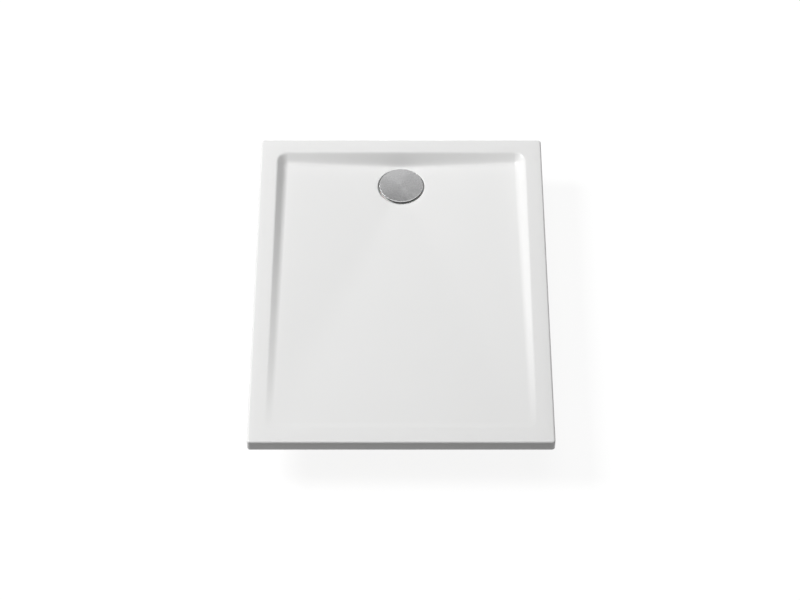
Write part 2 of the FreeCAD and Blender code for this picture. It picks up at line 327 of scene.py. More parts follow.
@dataclass(frozen=True)
class GlassFibre(Finish):
    """Sprayed chopped strands in polyester resin, with runs and lumps."""

    resin: tuple = (0.60, 0.58, 0.44)
    strand: tuple = (0.83, 0.82, 0.72)
    gloss: tuple = (0.28, 0.62)
    lays: int = 5
    first_turn: float = 0.3
    strand_scale: tuple = (38, 900, 420)
    strand_change: float = 5
    strand_edge: tuple = (0.56, 0.66)
    strand_depth: float = 0.00022
    lump: float = 60.0
    lump_depth: float = 0.0011

    def paint(self, sheet: Sheet) -> None:
        """Several lays of strands, each turned from the last, over lumpy resin.

        Args:
            sheet: The material under construction.
        """
        strands, (along, *across) = 0.0, self.strand_scale
        for k in range(self.lays):
            turn = (0.0, 0.0, math.pi * k / self.lays + self.first_turn)
            scale = (along + self.strand_change * k, *across)
            lay = sheet.noise(1.0, 2.0, sheet.moved(scale, turn), 0.6)
            line = sheet.spread(lay, 0.0, 1.0, *self.strand_edge)
            strands = sheet.math("MAXIMUM", strands, line)
        lumps = sheet.noise(self.lump, 4.0)
        share = sheet.math("MULTIPLY", strands, sheet.spread(lumps, 0.35, 1.0, 0.3, 0.6))
        sheet.drive(
            Base_Color=sheet.blend(share, self.resin, self.strand),
            Roughness=sheet.spread(lumps, *self.gloss, *MIDDLE),
        )
        sheet.bump(lumps, self.lump_depth, 0.6)
        sheet.bump(strands, self.strand_depth, 0.7)


@dataclass(frozen=True)
class SawnTimber(Finish):
    """Sawn softwood: growth rings that show as grain along the batten and as arcs on its ends."""

    along: Axis
    early: tuple = (0.66, 0.48, 0.30)
    late: tuple = (0.40, 0.24, 0.12)
    ring: float = 0.0042
    pith: tuple = (0.031, 0.052, 0.02)
    lean: tuple = (0.05, 0.04, 0.03)
    taper: float = 0.06
    knots: float = 26.0
    wander: float = 0.012
    gloss: tuple = (0.62, 0.85)
    fibres: tuple = (900.0, 22.0)
    fibre_depth: float = 0.00035
    saw: tuple = (3.0, 420.0)
    saw_turn: tuple = (0, 0, 0.12)
    saw_depth: float = 0.0002

    def stretched(self, across: float, along: float) -> list:
        """Scales of a pattern: one across the grain and one along it."""
        return [along if axis is self.along else across for axis in Axis]

    def paint(self, sheet: Sheet) -> None:
        """Wandering rings about a leaning pith, fine fibres, and the marks of the saw.

        Args:
            sheet: The material under construction.
        """
        tilted = sheet.moved(self.stretched(1.0, self.taper), self.lean, self.pith)
        wander = sheet.noise(self.knots, 3.0, tilted).outputs["Color"]
        added, swing = {"operation": "MULTIPLY_ADD"}, (self.wander,) * 3
        shifted = sheet.add("ShaderNodeVectorMath", wander, swing, tilted, traits=added)
        kind = {"wave_type": "RINGS", "rings_direction": self.along.name, "wave_profile": "SAW"}
        sizes = {"Scale": WAVE_PERIOD / self.ring, "Distortion": 0.6, "Detail": 2.0}
        rings = sheet.add("ShaderNodeTexWave", traits=kind, Vector=shifted, **sizes)
        fine = sheet.noise(1.0, 3.0, sheet.moved(self.stretched(*self.fibres)))
        grain = sheet.math("MULTIPLY", rings.outputs["Fac"], sheet.spread(fine, 0.45, 1.0))
        sheet.drive(
            Base_Color=sheet.blend(grain, self.early, self.late),
            Roughness=sheet.spread(fine, *self.gloss),
        )
        sheet.bump(fine, self.fibre_depth, 0.7)
        saw = sheet.moved(self.stretched(*self.saw), self.saw_turn)
        sheet.bump(sheet.noise(1.0, 1.0, saw), self.saw_depth, 0.4)


@dataclass(frozen=True)
class PlatedSteel(Finish):
    """Bare plated steel: cells of zinc of slightly different tone and sheen."""

    tone: tuple
    spread: float
    cells: float
    gloss: tuple
    stains: float = 30.0
    grain: float = 700.0
    grain_depth: float = 0.00003

    def paint(self, sheet: Sheet) -> None:
        """Cells that change the tone, with stains that change the sheen too.

        Args:
            sheet: The material under construction.
        """
        warped = sheet.moved(turn=(0.4, 0.7, 0.2))
        cell = sheet.add("ShaderNodeTexVoronoi", Vector=warped, Scale=self.cells, Randomness=1.0)
        tone = sheet.add("ShaderNodeSeparateColor", cell.outputs["Color"])
        dark = [c * (1 - self.spread) for c in self.tone]
        light = [min(1.0, c * (1 + self.spread)) for c in self.tone]
        stain = sheet.math("MULTIPLY", sheet.noise(self.stains, 4.0), 0.5)
        patch = sheet.math("MULTIPLY_ADD", tone.outputs[1], 0.5, stain)
        sheet.drive(
            Metallic=1.0,
            Base_Color=sheet.blend(tone, dark, light),
            Roughness=sheet.spread(patch, *self.gloss, 0.2, 0.8),
        )
        sheet.bump(sheet.noise(self.grain, 2.0), self.grain_depth, 0.5)


@dataclass(frozen=True)
class SatinChrome(Finish):
    """Satin chrome, brushed in circles about the middle of the cover."""

    centre: tuple
    tone: tuple = (0.55, 0.55, 0.555)
    gloss: tuple = (0.20, 0.34)
    patches: float = 70.0
    groove: float = 0.00035
    groove_depth: float = 0.000012
    brushing: float = 0.6

    def paint(self, sheet: Sheet) -> None:
        """Grooves at even radii, and reflections drawn out across them.

        Args:
            sheet: The material under construction.
        """
        split = sheet.add("ShaderNodeSeparateXYZ", sheet.moved(centre=self.centre))
        x, y = split.outputs["X"], split.outputs["Y"]
        square = sheet.math("MULTIPLY_ADD", x, x, sheet.math("MULTIPLY", y, y))
        lines = sheet.add("ShaderNodeCombineXYZ", sheet.math("SQRT", square))
        brushed = sheet.noise(1.0 / self.groove, 3.0, lines, 0.7)
        both = sheet.math("ADD", brushed, sheet.noise(self.patches))
        sheet.drive(
            Metallic=1.0,
            Base_Color=(*self.tone, 1),
            Roughness=sheet.spread(both, *self.gloss, 0.7, 1.3),
            Anisotropic=self.brushing,
            Tangent=sheet.add("ShaderNodeCombineXYZ", sheet.math("MULTIPLY", y, -1.0), x),
        )
        sheet.bump(brushed, self.groove_depth, 0.3)


# --- mesh making --------------------------------------------------------------------------------
def placed(name: str, data: ID) -> Object:
    """Put a mesh, a lamp or a camera in the scene.

    Args:
        name: Name of its object.
        data: The mesh, lamp or camera.

    Returns:
        The new object.
    """
    piece = bpy.data.objects.new(name, data)
    bpy.context.scene.collection.objects.link(piece)
    return piece


def object_of(name: str, mesh: Mesh, material: Material) -> Object:
    """Put a mesh in the scene, smooth-shaded and with its material.

    Args:
        name: Name of the piece.
        mesh: The mesh.
        material: The material.

    Returns:
        The new object.
    """
    mesh.name = name
    mesh.materials.clear()
    mesh.materials.append(material)
    mesh.polygons.foreach_set("use_smooth", [True] * len(mesh.polygons))
    return placed(name, mesh)


def flat_shaded(piece: Object) -> Object:
    """Shade every face of a piece flat."""
    piece.data.polygons.foreach_set("use_smooth", [False] * len(piece.data.polygons))
    return piece


def applied(piece: Object) -> Object:
    """Turn the modifiers of a piece into plain mesh.

    Args:
        piece: The piece.

    Returns:
        The same piece.
    """
    graph = bpy.context.evaluated_depsgraph_get()
    mesh = bpy.data.meshes.new_from_object(piece.evaluated_get(graph))
    old = piece.data
    piece.modifiers.clear()
    piece.data = mesh
    mesh.name = piece.name
    if old.users == 0:
        bpy.data.meshes.remove(old)
    return piece


def weighted(piece: Object) -> Object:
    """Give a softened piece normals that keep its broad faces flat.

    Args:
        piece: The piece.

    Returns:
        The same piece.
    """
    modifier = piece.modifiers.new("normals", "WEIGHTED_NORMAL")
    modifier.weight = 100
    return applied(piece)


def mesh_of(name: str, body: bmesh.types.BMesh) -> Mesh:
    """Turn a bmesh into a mesh, and free it.

    Args:
        name: Name of the mesh.
        body: The bmesh.

    Returns:
        The new mesh.
    """
    mesh = bpy.data.meshes.new(name)
    body.to_mesh(mesh)
    body.free()
    return mesh


def tidied(mesh: Mesh) -> Mesh:
    """Close seams and poles of a shell and turn its faces outwards.

    Args:
        mesh: The shell.

    Returns:
        The same mesh.
    """
    body = bmesh.new()
    body.from_mesh(mesh)
    bmesh.ops.remove_doubles(body, verts=body.verts, dist=MERGE)
    bmesh.ops.recalc_face_normals(body, faces=body.faces)
    body.to_mesh(mesh)
    body.free()
    return mesh


def mesh_from(name: str, points: Iterable, faces: Iterable = (), edges: Iterable = ()) -> Mesh:
    """Make a mesh.

    Args:
        name: Its name.
        points: Its points.
        faces: Rows of the points of each face.
        edges: Pairs of points that are joined by a loose edge.

    Returns:
        The mesh.
    """
    mesh = bpy.data.meshes.new(name)
    mesh.from_pydata(points, edges, faces)
    return mesh


def loft(rings: Sequence[np.ndarray]) -> Mesh:
    """Skin closed rings of points, the last of which joins the first.

    Args:
        rings: Arrays of the same number of points, each ring closed on itself.

    Returns:
        The closed mesh, with its faces outwards.
    """
    count, around = len(rings), len(rings[0])
    faces = []
    for j in range(count):
        a, b = j * around, (j + 1) % count * around
        for i in range(around):
            n = (i + 1) % around
            faces.append((a + i, a + n, b + n, b + i))
    return tidied(mesh_from("loft", np.concatenate(rings).tolist(), faces))


def quarter(steps: int) -> list:
    """Cosine and sine at even steps of a quarter turn."""
    angles = [math.pi / 2 * k / steps for k in range(steps + 1)]
    return [(math.cos(a), math.sin(a)) for a in angles]


def eased(corners: Sequence[tuple], steps: int) -> list:
    """Round the corners of a closed outline.

    Args:
        corners: (a, b, radius) of each corner.
        steps: Pieces in each rounding.

    Returns:
        The (a, b) points.
    """
    points = []
    for k, (a, b, radius) in enumerate(corners):
        here = Vector((a, b))
        if radius <= 0:
            points.append(here)
            continue
        before = Vector(corners[k - 1][:2])
        after = Vector(corners[(k + 1) % len(corners)][:2])
        start = here + (before - here).normalized() * radius
        stop = here + (after - here).normalized() * radius
        for step in range(steps + 1):
            t = step / steps
            points.append(start * (1 - t) ** 2 + here * 2 * t * (1 - t) + stop * t**2)
    return points


def turned(corners: Sequence[tuple], centre: Vector, segments: int = 96, steps: int = 5) -> Mesh:
    """Turn an outline about an upright axis.

    Args:
        corners: (radius, height, rounding) of each corner of the closed outline.
        centre: Point on the axis from which the heights are measured.
        segments: Pieces round the axis.
        steps: Pieces in each rounding.

    Returns:
        The closed mesh.
    """
    angles = np.linspace(0, 2 * math.pi, segments, endpoint=False)
    rings = []
    for radius, height in eased(corners, steps):
        radius = max(radius, MERGE / 10)
        level = np.full(segments, height)
        ring = np.stack([radius * np.cos(angles), radius * np.sin(angles), level], axis=1)
        rings.append(ring + np.array(centre))
    return loft(rings)


def ring_at(centre: Sequence[float], axis: Axis, level: float, radius: float) -> Callable:
    """Test for the edges of one circle.

    Args:
        centre: Point on the axis of the circle.
        axis: Direction of that axis.
        level: Place of the circle along it.
        radius: Radius of the circle.

    Returns:
        Function that says whether an edge belongs to the circle.
    """

    def on_ring(edge: bmesh.types.BMEdge) -> bool:
        """Whether both ends of an edge lie on the circle.

        Args:
            edge: The edge.

        Returns:
            Whether it is on the ring.
        """
        for vert in edge.verts:
            away = vert.co - Vector(centre)
            away[axis.value] = 0
            if abs(vert.co[axis.value] - level) > SNAP or abs(away.length - radius) > SNAP:
                return False
        return True

    return on_ring


def bevelled(body: bmesh.types.BMesh, edges: list, width: float, steps: int, held: bool) -> None:
    """Ease edges of a bmesh.

    Args:
        body: The bmesh.
        edges: Its edges that are eased.
        width: Width of the easing.
        steps: Pieces in it.
        held: Whether it stops where two easings meet.
    """
    how = {"offset_type": "OFFSET", "profile": 0.5, "affect": "EDGES", "clamp_overlap": held}
    bmesh.ops.bevel(body, geom=edges, offset=width, segments=steps, **how)


def softened(
    node: str,
    name: str,
    material: Material,
    ease: float,
    steps: int = 2,
    rules: Sequence[tuple] = (),
) -> Object:
    """Copy a node of the frame with its edges eased.

    Args:
        node: The node.
        name: Name of the piece.
        material: Its material.
        ease: Width of the easing on every sharp edge, or 0 to leave them.
        steps: Pieces in the easing.
        rules: (test of an edge, width) pairs that are applied first.

    Returns:
        The piece.
    """
    body = bmesh.new()
    body.from_mesh(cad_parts[node].data)
    bmesh.ops.remove_doubles(body, verts=body.verts, dist=MERGE)
    bmesh.ops.dissolve_limit(body, angle_limit=FLAT_ANGLE, verts=body.verts, edges=body.edges)
    rest = [(lambda edge: True, ease)] if ease else []
    for test, width in (*rules, *rest):
        sharp = [
            edge
            for edge in body.edges
            if len(edge.link_faces) == 2 and edge.calc_face_angle(0.0) > SHARP_ANGLE and test(edge)
        ]
        bevelled(body, sharp, width, steps, True)
    return weighted(object_of(name, mesh_of(name, body), material))


def merged(name: str, meshes: Iterable[Mesh], material: Material) -> Object:
    """Put several closed meshes in one piece.

    Args:
        name: Name of the piece.
        meshes: The meshes, which are removed.
        material: Its material.

    Returns:
        The piece.
    """
    body = bmesh.new()
    for mesh in meshes:
        body.from_mesh(mesh)
        bpy.data.meshes.remove(mesh)
    return object_of(name, mesh_of(name, body), material)


def block(
    size: tuple, middle: tuple, ease: float = 0.0, turn: float = 0.0, centre: tuple = (0, 0, 0)
) -> Mesh:
    """Make a block, turned about an upright axis.

    Args:
        size: Its lengths along X, Y and Z before the turn.
        middle: Its middle from the axis, before the turn.
        ease: Width of the easing of its edges.
        turn: Angle of the turn.
        centre: Place of the axis.

    Returns:
        The mesh.
    """
    body = bmesh.new()
    bmesh.ops.create_cube(body, size=1.0)
    bmesh.ops.scale(body, vec=size, verts=body.verts)
    if ease:
        bevelled(body, body.edges[:], ease, 2, False)
    bmesh.ops.translate(body, vec=middle, verts=body.verts)
    bmesh.ops.rotate(body, verts=body.verts, matrix=Matrix.Rotation(turn, 3, "Z"))
    bmesh.ops.translate(body, vec=centre, verts=body.verts)
    return mesh_of("block", body)


def hexagon(centre: Vector, foot: float, top: float, flats: float, bore: float) -> Mesh:
    """A chamfered hexagon nut or head.

    Args:
        centre: Point on its upright axis.
        foot: Height of its lower face.
        top: Height of its upper face.
        flats: Size across the flats.
        bore: Radius of its hole.

    Returns:
        The closed mesh.
    """
    count, sector, chamfer, land, slope = 72, math.pi / 3, 0.0006, 0.965, math.radians(30)
    angles = np.arange(count) * 2 * math.pi / count
    edge = flats / 2 / np.cos((angles + sector / 2) % sector - sector / 2)
    face = np.full(count, flats / 2 * land)
    fall = (edge - face) * math.tan(slope)
    hole, lip = np.full(count, bore), np.full(count, bore + chamfer)
    section = [(hole, foot + chamfer), (lip, foot), (face, foot), (edge, foot + fall)]
    section += [(edge, top - fall), (face, top), (lip, top), (hole, top - chamfer)]
    rings = []
    for radius, height in section:
        x, y = centre[0] + radius * np.cos(angles), centre[1] + radius * np.sin(angles)
        rings.append(np.stack([x, y, np.broadcast_to(height, count)], axis=1))
    return loft(rings)


# --- Geometry Nodes -----------------------------------------------------------------------------
class Recipe(Graph):
    """A Geometry Nodes tree under construction, with named numbers as its inputs."""

    def __init__(self, name: str, *inputs: str) -> None:
        """Start a tree.

        Args:
            name: Name of the tree.
            *inputs: Names of its number inputs.
        """
        super().__init__(bpy.data.node_groups.new(name, "GeometryNodeTree"))
        face = self.tree.interface
        face.new_socket("Geometry", in_out="INPUT", socket_type="NodeSocketGeometry")
        for label in inputs:
            face.new_socket(label, in_out="INPUT", socket_type="NodeSocketFloat")
        face.new_socket("Geometry", in_out="OUTPUT", socket_type="NodeSocketGeometry")
        self.given = self.add("NodeGroupInput").outputs
        self.sink = self.add("NodeGroupOutput")

    def vector(self, x: Number, y: Number, z: Number) -> Node:
        """Vector of three numbers or sockets."""
        return self.add("ShaderNodeCombineXYZ", x, y, z)

    def position(self) -> Node:
        """Coordinates of each point, as a node with outputs X, Y and Z."""
        return self.add("ShaderNodeSeparateXYZ", self.add("GeometryNodeInputPosition"))

    def close(self, geometry: Number, material: Material) -> "Recipe":
        """End the tree: realize the instances, merge and set the material.

        Args:
            geometry: What the tree has made.
            material: Its finish.

        Returns:
            The tree.
        """
        real = self.add("GeometryNodeRealizeInstances", geometry)
        whole = self.add("GeometryNodeMergeByDistance", real, Distance=MERGE)
        dressed = self.add("GeometryNodeSetMaterial", whole, Material=material)
        self.feed(self.sink.inputs[0], dressed)
        return self

    def run(self, base: Mesh, **values: float) -> Mesh:
        """Evaluate the tree on a mesh.

        Args:
            base: Mesh that goes in.
            **values: A number for each named input.

        Returns:
            The plain mesh that comes out.
        """
        piece = placed("recipe", base)
        modifier = piece.modifiers.new("recipe", "NODES")
        modifier.node_group = self.tree
        for item in self.tree.interface.items_tree:
            if item.in_out == "INPUT" and item.name in values:
                modifier[item.identifier] = values[item.name]
        mesh = applied(piece).data
        bpy.data.objects.remove(piece)
        return mesh


def thread_recipe(material: Material, around: int = 24, per_turn: int = 6) -> Recipe:
    """Tree of an upright screw thread, closed at both ends.

    Args:
        material: Finish of the thread.
        around: Points round the thread.
        per_turn: Rows in one turn.

    Returns:
        The tree, whose inputs are Radius, Pitch, Depth, Foot, Length, X and Y.
    """
    sharpness, truncation = 1.35, -0.18
    names = ("Radius", "Pitch", "Depth", "Foot", "Length", "X", "Y")
    tree = Recipe("screw_thread", *names)
    outer, pitch, depth, foot, length, x, y = (tree.given[name] for name in names)
    calc = tree.math
    rows = calc("CEIL", calc("MULTIPLY", calc("DIVIDE", length, pitch), per_turn))
    grid = tree.add("GeometryNodeMeshGrid", 1.0, 1.0, around + 1, rows)
    split = tree.position()
    turn = calc("ADD", split.outputs["X"], 0.5)
    height = calc("MULTIPLY", calc("ADD", split.outputs["Y"], 0.5), length)
    phase = calc("SUBTRACT", calc("DIVIDE", height, pitch), turn)
    tooth = calc("MULTIPLY", calc("PINGPONG", phase, 0.5), 2.0)
    flank = tree.add("ShaderNodeClamp", calc("MULTIPLY_ADD", tooth, sharpness, truncation))
    to_end = calc("MINIMUM", height, calc("SUBTRACT", length, height))
    runout = tree.add("ShaderNodeClamp", calc("DIVIDE", to_end, pitch))
    core = calc("SUBTRACT", outer, depth)
    radius = calc("MULTIPLY_ADD", calc("MULTIPLY", flank, runout), depth, core)
    angle = calc("MULTIPLY", turn, 2 * math.pi)
    place = tree.vector(
        calc("MULTIPLY_ADD", radius, calc("COSINE", angle), x),
        calc("MULTIPLY_ADD", radius, calc("SINE", angle), y),
        calc("ADD", height, foot),
    )
    parts = [tree.add("GeometryNodeSetPosition", grid, Position=place)]
    for level in (foot, calc("ADD", foot, length)):
        cap = tree.add("GeometryNodeMeshCircle", around, core, traits={"fill_type": "NGON"})
        lifted = tree.vector(x, y, level)
        parts.append(tree.add("GeometryNodeTransform", cap, Translation=lifted))
    join = tree.add("GeometryNodeJoinGeometry")
    for part in parts:
        tree.feed(join.inputs[0], part)
    return tree.close(join, material)


def copies_recipe(name: str, item: Object, material: Material) -> Recipe:
    """Tree that puts a copy of one object at every point, each turned about its own point.

    Args:
        name: Name of the tree.
        item: The object that is copied, made about the origin.
        material: Finish of the copies.

    Returns:
        The tree, whose inputs are Turn, in radians for each metre along X and Y, Step, in radians
        from one copy to the next, and Start, the angle of the first.
    """
    tree = Recipe(name, "Turn", "Step", "Start")
    source = tree.add("GeometryNodeObjectInfo", Object=item)
    split = tree.position()
    way = tree.math("ADD", split.outputs["X"], split.outputs["Y"])
    index = tree.add("GeometryNodeInputIndex")
    turn = tree.math("MULTIPLY_ADD", index, tree.given["Step"], tree.given["Start"])
    turn = tree.math("MULTIPLY_ADD", way, tree.given["Turn"], turn)
    copies = tree.add("GeometryNodeInstanceOnPoints", tree.given["Geometry"])
    tree.feed(copies.inputs["Instance"], source.outputs["Geometry"])
    tree.feed(copies.inputs["Rotation"], tree.vector(0.0, 0.0, turn))
    return tree.close(copies, material)


def bead_recipe(material: Material, lumps: float = 55.0, around: int = 10) -> Recipe:
    """Tree of an uneven bead that follows the edges of a mesh.

    Args:
        material: Finish of the bead.
        lumps: Lumps per metre.
        around: Points round the bead.

    Returns:
        The tree, whose inputs are Radius, Wander and Step.
    """
    tree = Recipe("resin_bead", "Radius", "Wander", "Step")
    curve = tree.add("GeometryNodeMeshToCurve", tree.given["Geometry"])
    by_length = {"mode": "LENGTH"}
    even = tree.add("GeometryNodeResampleCurve", curve, traits=by_length, Length=tree.given["Step"])
    noise = tree.add("ShaderNodeTexNoise", Scale=lumps, Detail=2.0)
    swing = tree.math("MULTIPLY_ADD", noise, 2.0, -1.0)
    factor = tree.math("MULTIPLY_ADD", swing, tree.given["Wander"], 1.0)
    bead = tree.add(
        "GeometryNodeCurveToMesh",
        Curve=even,
        Profile_Curve=tree.add("GeometryNodeCurvePrimitiveCircle", Resolution=around, Radius=1.0),
        Scale=tree.math("MULTIPLY", factor, tree.given["Radius"]),
        Fill_Caps=True,
    )
    return tree.close(bead, material)


# --- the moulding -------------------------------------------------------------------------------
@dataclass(frozen=True)
class TraySizes:
    """Sizes of the thermoformed sheet, in metres. The two bends are shares of a wall's run."""

    rim_width: float = 0.042
    sheet: float = 0.004
    skirt: float = 0.032
    plan_radius: float = 0.008
    edge_radius: float = 0.0053
    front_run: float = 0.024
    back_run: float = 0.034
    rim_bend: float = 0.20
    foot_bend: float = 0.50
    front_drop: float = 0.0015
    least_drop: float = 0.0009
    corner_drop: float = 0.022
    waste_drop: float = 0.036
    crease_softness: float = 0.004
    pocket_radius: float = 0.0625
    pocket_depth: float = 0.042
    pocket_fillet: float = 0.0022
    waste_bore: float = 0.045
    bore_chamfer: float = 0.0005
    trim_radius: float = 0.0007
    inner_chamfer: float = 0.001


@dataclass(frozen=True)
class Sampling:
    """Points round the tray and rings across it."""

    front: int = 26
    side: int = 44
    back: int = 56
    corner: int = 12
    rim: tuple = (-0.7, -0.35)
    rim_bend: int = 7
    slope: int = 3
    foot_bend: int = 9
    floor: int = 16
    floor_power: float = 0.8
    rounding: int = 6
    trim: int = 3
    pocket: int = 4


class Basin:
    """The rule of the basin: its outlines in plan and the height of its face at any point."""

    def __init__(self, sizes: TraySizes, high: Vector, waste_y: float) -> None:
        """Work out the corners of the basin.

        Args:
            sizes: Sizes of the sheet.
            high: Highest corner of the tray shell.
            waste_y: Place of the waste along Y.
        """
        self.sizes, self.points = sizes, Sampling()
        self.half_x, self.half_y, self.deck = high
        self.waste = np.array([0.0, waste_y])
        self.rim_x = self.half_x - sizes.rim_width
        self.rim_y = self.half_y - sizes.rim_width
        self.front_x, self.front_y = self.rim_x - sizes.front_run, sizes.front_run - self.rim_y
        self.back_x, self.back_y = self.rim_x - sizes.back_run, self.rim_y - sizes.back_run

    def outline(self, corners: Sequence[tuple], radii: Sequence[float]) -> Outline:
        """Closed outline with rounded corners, anticlockwise from the front left.

        Args:
            corners: Centres of the roundings: front left, front right, back right, back left.
            radii: Radius of each rounding.

        Returns:
            Array of points in plan; the same rows of any two outlines face each other.
        """
        points = self.points
        spread = math.atan2(self.back_x, self.back_y - self.waste[1])
        fan = np.tan(spread * np.linspace(1, -1, points.back + 1)[1:-1])
        front, side = (np.linspace(0, 1, n + 1)[1:-1] for n in (points.front, points.side))
        shares = [front, side, 0.5 - 0.5 * fan / math.tan(spread), side]
        arcs = []
        for k, (centre, radius) in enumerate(zip(corners, radii)):
            angles = math.radians(180 + 90 * k) + np.linspace(0, math.pi / 2, points.corner + 1)
            arcs.append(np.stack([np.cos(angles), np.sin(angles)], axis=1) * radius + centre)
        parts = []
        for arc, after, share in zip(arcs, arcs[1:] + arcs[:1], shares):
            parts += [arc, arc[-1] + (after[0] - arc[-1]) * share[:, None]]
        return np.concatenate(parts)

    def box_line(self, inset: float, radius: float) -> Outline:
        """Outline of the tray less an inset, with the given corner radius."""
        x, y = self.half_x - inset - radius, self.half_y - inset - radius
        return self.outline([(-x, -y), (x, -y), (x, y), (-x, y)], [radius] * 4)

    def wall_line(self, share: float) -> Outline:
        """Outline at a share of the way down the run of the walls.

        Args:
            share: 0 at the rim, 1 at the foot; below 0 the outline lies on the rim.

        Returns:
            The outline.
        """
        front, back = ((self.front_x, self.front_y), (self.back_x, self.back_y))
        corners = [(-front[0], front[1]), front, back, (-back[0], back[1])]
        radii = [run * (1 - share) for run in (self.sizes.front_run, self.sizes.back_run)]
        return self.outline(corners, [radii[0], radii[0], radii[1], radii[1]])

    def foot_line(self) -> Outline:
        """Outline in which the walls meet the floor."""
        return self.wall_line(1.0)

    def from_waste(self, line: Outline) -> tuple:
        """Ways from the waste to the points of an outline, and their lengths."""
        way = line - self.waste
        return way, np.hypot(way[:, 0], way[:, 1])[:, None]

    def about_waste(self, radius: Union[float, np.ndarray]) -> Outline:
        """Circle about the waste, its points facing those of the foot line."""
        way, length = self.from_waste(self.foot_line())
        return self.waste + way / length * np.reshape(radius, (-1, 1))

    def floor(self, x: np.ndarray, y: np.ndarray) -> np.ndarray:
        """Height of the floor's planes above the deck, with softened creases.

        Args:
            x: Places across the tray.
            y: Places along it.

        Returns:
            The height at each place.
        """
        sizes = self.sizes
        waste = (0.0, self.waste[1], -sizes.waste_drop)
        front = (self.front_x, self.front_y, -sizes.front_drop)
        back = (self.back_x, self.back_y, -sizes.corner_drop)
        behind = (0.0, self.back_y, -sizes.waste_drop)

        def plane(a: tuple, b: tuple, c: tuple, across: np.ndarray) -> np.ndarray:
            """Height over (across, y) of the plane through three points."""
            normal = np.cross(np.subtract(b, a), np.subtract(c, a))
            return a[2] - (normal[0] * (across - a[0]) + normal[1] * (y - a[1])) / normal[2]

        soft = sizes.crease_softness * np.hypot(x, y - self.waste[1]) + TINY
        height = plane(waste, (-front[0], front[1], front[2]), front, x)
        for side in (plane(waste, front, back, np.abs(x)), plane(waste, back, behind, np.abs(x))):
            overlap = np.maximum(soft - np.abs(height - side), 0) / soft
            height = np.maximum(height, side) + overlap**2 * soft / 4
        return np.minimum(height, -sizes.least_drop)

    def fall(self, share: np.ndarray) -> np.ndarray:
        """Share of the wall's drop at a share of its run: a bend, a slope and a bend.

        Args:
            share: Shares of the run, from 0 at the rim.

        Returns:
            The shares of the drop.
        """
        rim, foot = self.sizes.rim_bend, self.sizes.foot_bend
        steep = 1 / (1 - (rim + foot) / 2)
        upper = steep * share**2 / 2 / rim
        middle = steep * (share - rim / 2)
        lower = 1 - steep * (1 - share) ** 2 / 2 / foot
        return np.where(share < rim, upper, np.where(share > 1 - foot, lower, middle))

    def height(self, plan: Outline) -> np.ndarray:
        """Height of the basin's face above the deck.

        Args:
            plan: Points inside the rim.

        Returns:
            The height at each point.
        """
        sizes = self.sizes
        x, y = plan[:, 0], plan[:, 1]
        near_y = np.clip(y, self.front_y, self.back_y)
        along = (near_y - self.front_y) / (self.back_y - self.front_y)
        foot_x = self.front_x + (self.back_x - self.front_x) * along
        side = (np.abs(x) - foot_x) / (self.rim_x - foot_x)
        ends = np.maximum((y - self.back_y) / sizes.back_run, (self.front_y - y) / sizes.front_run)
        beyond = np.clip(np.hypot(np.clip(side, 0, 1), np.clip(ends, 0, 1)), 0, 1)
        return self.floor(np.clip(x, -foot_x, foot_x), near_y) * self.fall(1 - beyond)

    def raised(self, plan: Outline, height: Union[float, np.ndarray]) -> np.ndarray:
        """Points over a plan, at a height measured from the deck."""
        level = np.broadcast_to(height, len(plan)) + self.deck
        return np.concatenate([plan, level[:, None]], axis=1)

    def runs(self) -> np.ndarray:
        """Shares of the wall's run at which its rings lie, from the rim to the foot.

        Returns:
            The shares.
        """
        rim, foot, points = self.sizes.rim_bend, 1 - self.sizes.foot_bend, self.points
        upper = np.linspace(0, rim, points.rim_bend + 1)
        slope = np.linspace(rim, foot, points.slope + 1)[1:]
        return np.concatenate([upper, slope, np.linspace(foot, 1, points.foot_bend + 1)[1:]])


